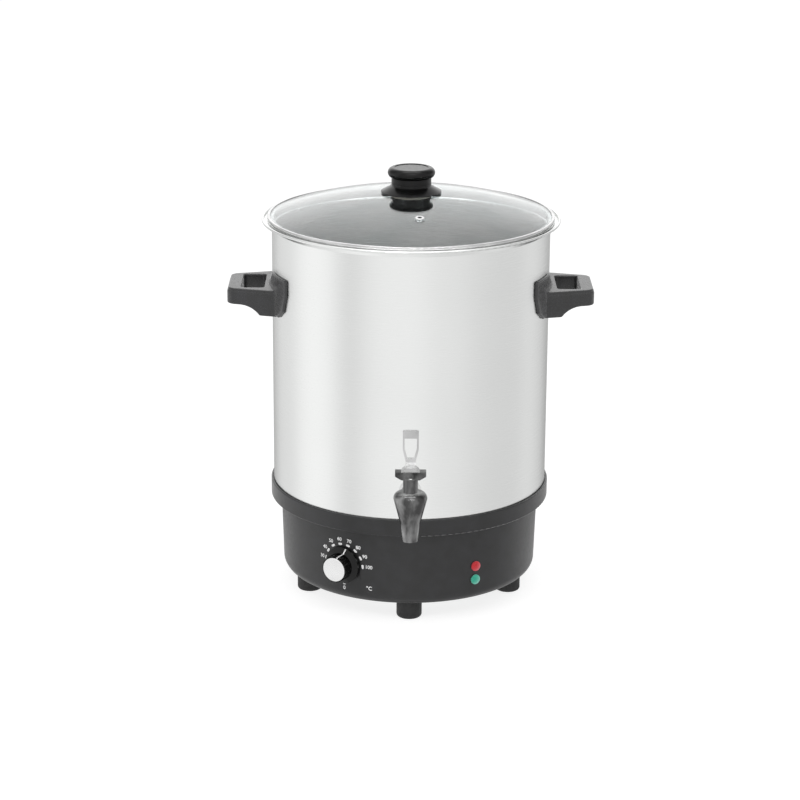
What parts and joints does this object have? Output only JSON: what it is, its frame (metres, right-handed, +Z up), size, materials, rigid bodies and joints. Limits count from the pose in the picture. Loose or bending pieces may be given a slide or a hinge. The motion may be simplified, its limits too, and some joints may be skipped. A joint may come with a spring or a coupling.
{
  "type": "mulled wine kettle",
  "caption": "Electric drinks kettle: steel vessel, domed glass lid, side handles, black base with thermostat dial and pilot lights, lever tap.",
  "frame": {"origin": "on the floor, under the middle of the kettle's bounding box; the vessel's axis is 23.95 mm behind it, towards +Y", "axes": "+Z up, the tap towards -Y, the right-hand handle towards +X"},
  "size_m": [0.461, 0.4232, 0.5471],
  "materials": {
    "steel": "satin",
    "bright_steel": "polished",
    "zinc": "zinc plated",
    "aluminium": "satin",
    "black_plastic": "fine grain",
    "black_gloss": "glossy",
    "rubber": "matte",
    "silicone": "matte",
    "glass": "clear",
    "red_lens": "translucent look",
    "green_lens": "translucent look",
    "white_plastic": "matte",
    "chrome": "polished",
    "copper": "drawn",
    "wire": "insulated",
    "element": "oxidised"
  },
  "bodies": {
    "kettle": {"vessel": "steel", "weld_nuts": "zinc", "centre_stud": "zinc", "heat_plate": "aluminium", "heating_element": "element", "element_pins": "zinc", "shield_spacer": "zinc", "heat_shield": "aluminium", "centre_nut": "zinc", "thermal_cutout": "black_plastic", "capillary": "copper", "bulb_clip": "zinc", "base_housing": "black_plastic", "base_plate": "zinc", "base_plate_screws": "zinc", "hold_down_screws": "zinc", "rubber_feet": "rubber", "foot_screws": "zinc", "handle_left": "black_plastic", "handle_right": "black_plastic", "handle_screws": "bright_steel", "handle_seals": "silicone", "thermostat_body": "white_plastic", "thermostat_screws": "zinc", "pilot_lens_red": "red_lens", "pilot_lens_green": "green_lens", "pilot_light_bodies": "white_plastic", "terminal_block": "white_plastic", "terminal_block_screws": "zinc", "wiring": "wire", "cable_gland": "black_plastic", "gland_nut": "black_plastic", "tap_body": "chrome", "tap_bonnet": "chrome", "tap_spring": "bright_steel", "tap_outer_gasket": "silicone", "tap_inner_gasket": "silicone", "tap_nut": "bright_steel"},
    "lid": {"lid_glass": "glass", "lid_band": "bright_steel", "lid_knob": "black_gloss", "lid_knob_skirt": "black_gloss", "lid_knob_washer": "silicone", "lid_knob_plate": "black_gloss", "lid_knob_screw": "bright_steel", "vent_grommet": "bright_steel"},
    "dial": {"thermostat_knob": "black_gloss", "knob_cap": "bright_steel", "thermostat_spindle": "zinc"},
    "plunger": {"tap_plunger": "bright_steel", "tap_seat_cup": "silicone"},
    "lever": {"tap_lever": "aluminium", "tap_lever_pin": "bright_steel"}
  },
  "joints": [
    {"name": "lid_lift", "type": "slide", "parent": "kettle", "child": "lid", "axis": [0, 0, 1], "range_m": [0, 0.2]},
    {"name": "thermostat_turn", "type": "hinge", "parent": "kettle", "child": "dial", "pos_m": [-0.08149, -0.11606, 0.0714], "axis": [0.503, 0.8643, 0], "range_deg": [-195, 73]},
    {"name": "tap_lift", "type": "slide", "parent": "kettle", "child": "plunger", "axis": [0, 0, 1], "range_m": [0, 0.005], "deforming": ["tap_spring"]},
    {"name": "lever_tilt", "type": "hinge", "parent": "plunger", "child": "lever", "pos_m": [0, -0.19105, 0.2256], "axis": [1, 0, 0], "range_deg": [0, 45], "stiffness_Nm_per_rad": 0.5, "springref_deg": -20.05}
  ],
  "couplings": [
    {"joint": "tap_lift", "follows": "lever_tilt", "m_per_rad": 0.006366}
  ]
}
